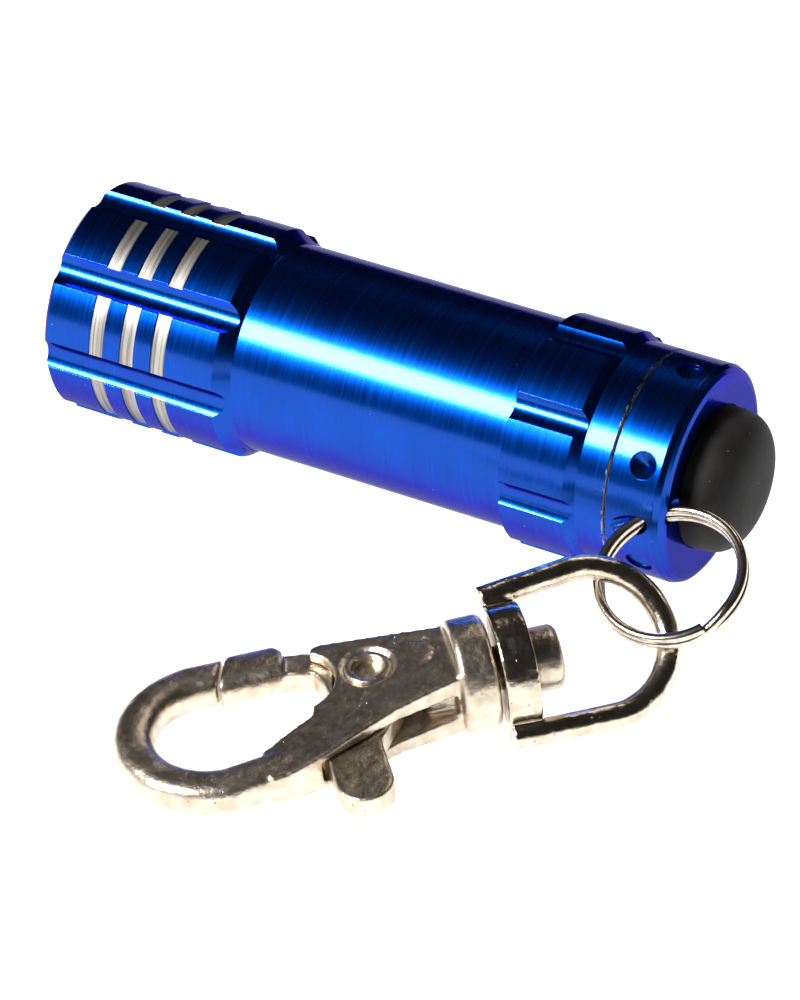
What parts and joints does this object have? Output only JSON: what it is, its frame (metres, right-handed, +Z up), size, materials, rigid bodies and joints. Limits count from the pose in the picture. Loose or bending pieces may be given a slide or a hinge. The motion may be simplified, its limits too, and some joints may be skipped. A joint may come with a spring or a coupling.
{
  "type": "keychain flashlight",
  "caption": "Small turned aluminium flashlight with three LEDs, a push-button tail cap, split ring, swivel eye and trigger snap hook",
  "frame": {"origin": "on the resting surface, under the middle of the whole object's bounding box", "axes": "+X runs along the flashlight from the front rim to the rubber button, +Z is up, and the hook lies on the -Y side"},
  "size_m": [0.0638, 0.057, 0.0189],
  "materials": {
    "blue_aluminium": "turned aluminium, anodised deep blue, glossy",
    "clear_window": "clear polished acrylic",
    "seal_rubber": "black nitrile, satin",
    "reflector_plating": "vacuum-plated plastic, mirror bright",
    "led_epoxy": "water-clear cast epoxy",
    "board_green": "glass-epoxy circuit board with green mask",
    "spring_steel": "drawn steel wire, nickel plated",
    "black_plastic": "moulded nylon, matte",
    "cell_steel": "nickel-plated pressed steel",
    "contact_brass": "turned brass, bare",
    "button_rubber": "moulded silicone rubber, matte with fine dust",
    "plunger_plastic": "moulded acetal, satin",
    "ring_steel": "drawn steel wire, nickel plated, bright",
    "nickel_plating": "die-cast zinc, polished and nickel plated, softly rounded"
  },
  "bodies": {
    "light": {"body_tube": "blue_aluminium", "lens_ring": "blue_aluminium", "lens_window": "clear_window", "lens_seal": "seal_rubber", "led_reflector": "reflector_plating", "led_1": "led_epoxy", "led_2": "led_epoxy", "led_3": "led_epoxy", "led_board": "board_green", "front_contact_spring": "spring_steel", "battery_sleeve": "black_plastic", "cell_1": "cell_steel", "cell_2": "cell_steel", "cell_3": "cell_steel", "cell_4": "cell_steel"},
    "seal": {"cap_seal": "seal_rubber"},
    "cap": {"tail_cap": "blue_aluminium", "switch_ring": "contact_brass", "switch_housing": "black_plastic", "tail_contact_spring": "spring_steel", "switch_spring": "spring_steel"},
    "button": {"rubber_button": "button_rubber", "switch_plunger": "plunger_plastic"},
    "ring": {"split_ring": "ring_steel"},
    "eye": {"swivel_eye": "nickel_plating"},
    "hook": {"hook_body": "nickel_plating", "gate_rivet": "nickel_plating"},
    "gate": {"hook_gate": "nickel_plating", "gate_spring": "spring_steel"}
  },
  "joints": [
    {"name": "cap_travel", "type": "slide", "parent": "light", "child": "seal", "axis": [1, 0, 0], "range_m": [0, 0.007]},
    {"name": "cap_turn", "type": "hinge", "parent": "seal", "child": "cap", "pos_m": [0.01814, 0.01905, 0.00947], "axis": [1, 0, 0], "range_deg": [0, 2520]},
    {"name": "button_press", "type": "slide", "parent": "cap", "child": "button", "axis": [-1, 0, 0], "range_m": [0, 0.0012], "stiffness_N_per_m": 300, "springref_m": -0.002, "deforming": ["switch_spring"]},
    {"name": "ring_swing", "type": "hinge", "parent": "cap", "child": "ring", "pos_m": [0.02234, 0.01133, 0.0098], "axis": [0.7845, 0.5377, 0.3088], "range_deg": [-60, 15]},
    {"name": "eye_swing", "type": "hinge", "parent": "ring", "child": "eye", "pos_m": [0.02761, 0.00268, 0.00536], "axis": [0.947, 0.2711, 0.1721], "range_deg": [0, 60]},
    {"name": "hook_swivel", "type": "hinge", "parent": "eye", "child": "hook", "pos_m": [0.0187, -0.00494, 0.00482], "axis": [0.7437, 0.6603, 0.1045], "continuous": true},
    {"name": "gate_open", "type": "hinge", "parent": "hook", "child": "gate", "pos_m": [0.01017, -0.01145, 0.00376], "axis": [-0.0293, -0.124, 0.9919], "range_deg": [0, 28], "stiffness_Nm_per_rad": 0.006, "springref_deg": -28.65, "deforming": ["gate_spring"]}
  ],
  "couplings": [
    {"joint": "cap_turn", "follows": "cap_travel", "rad_per_m": 6283.2}
  ]
}
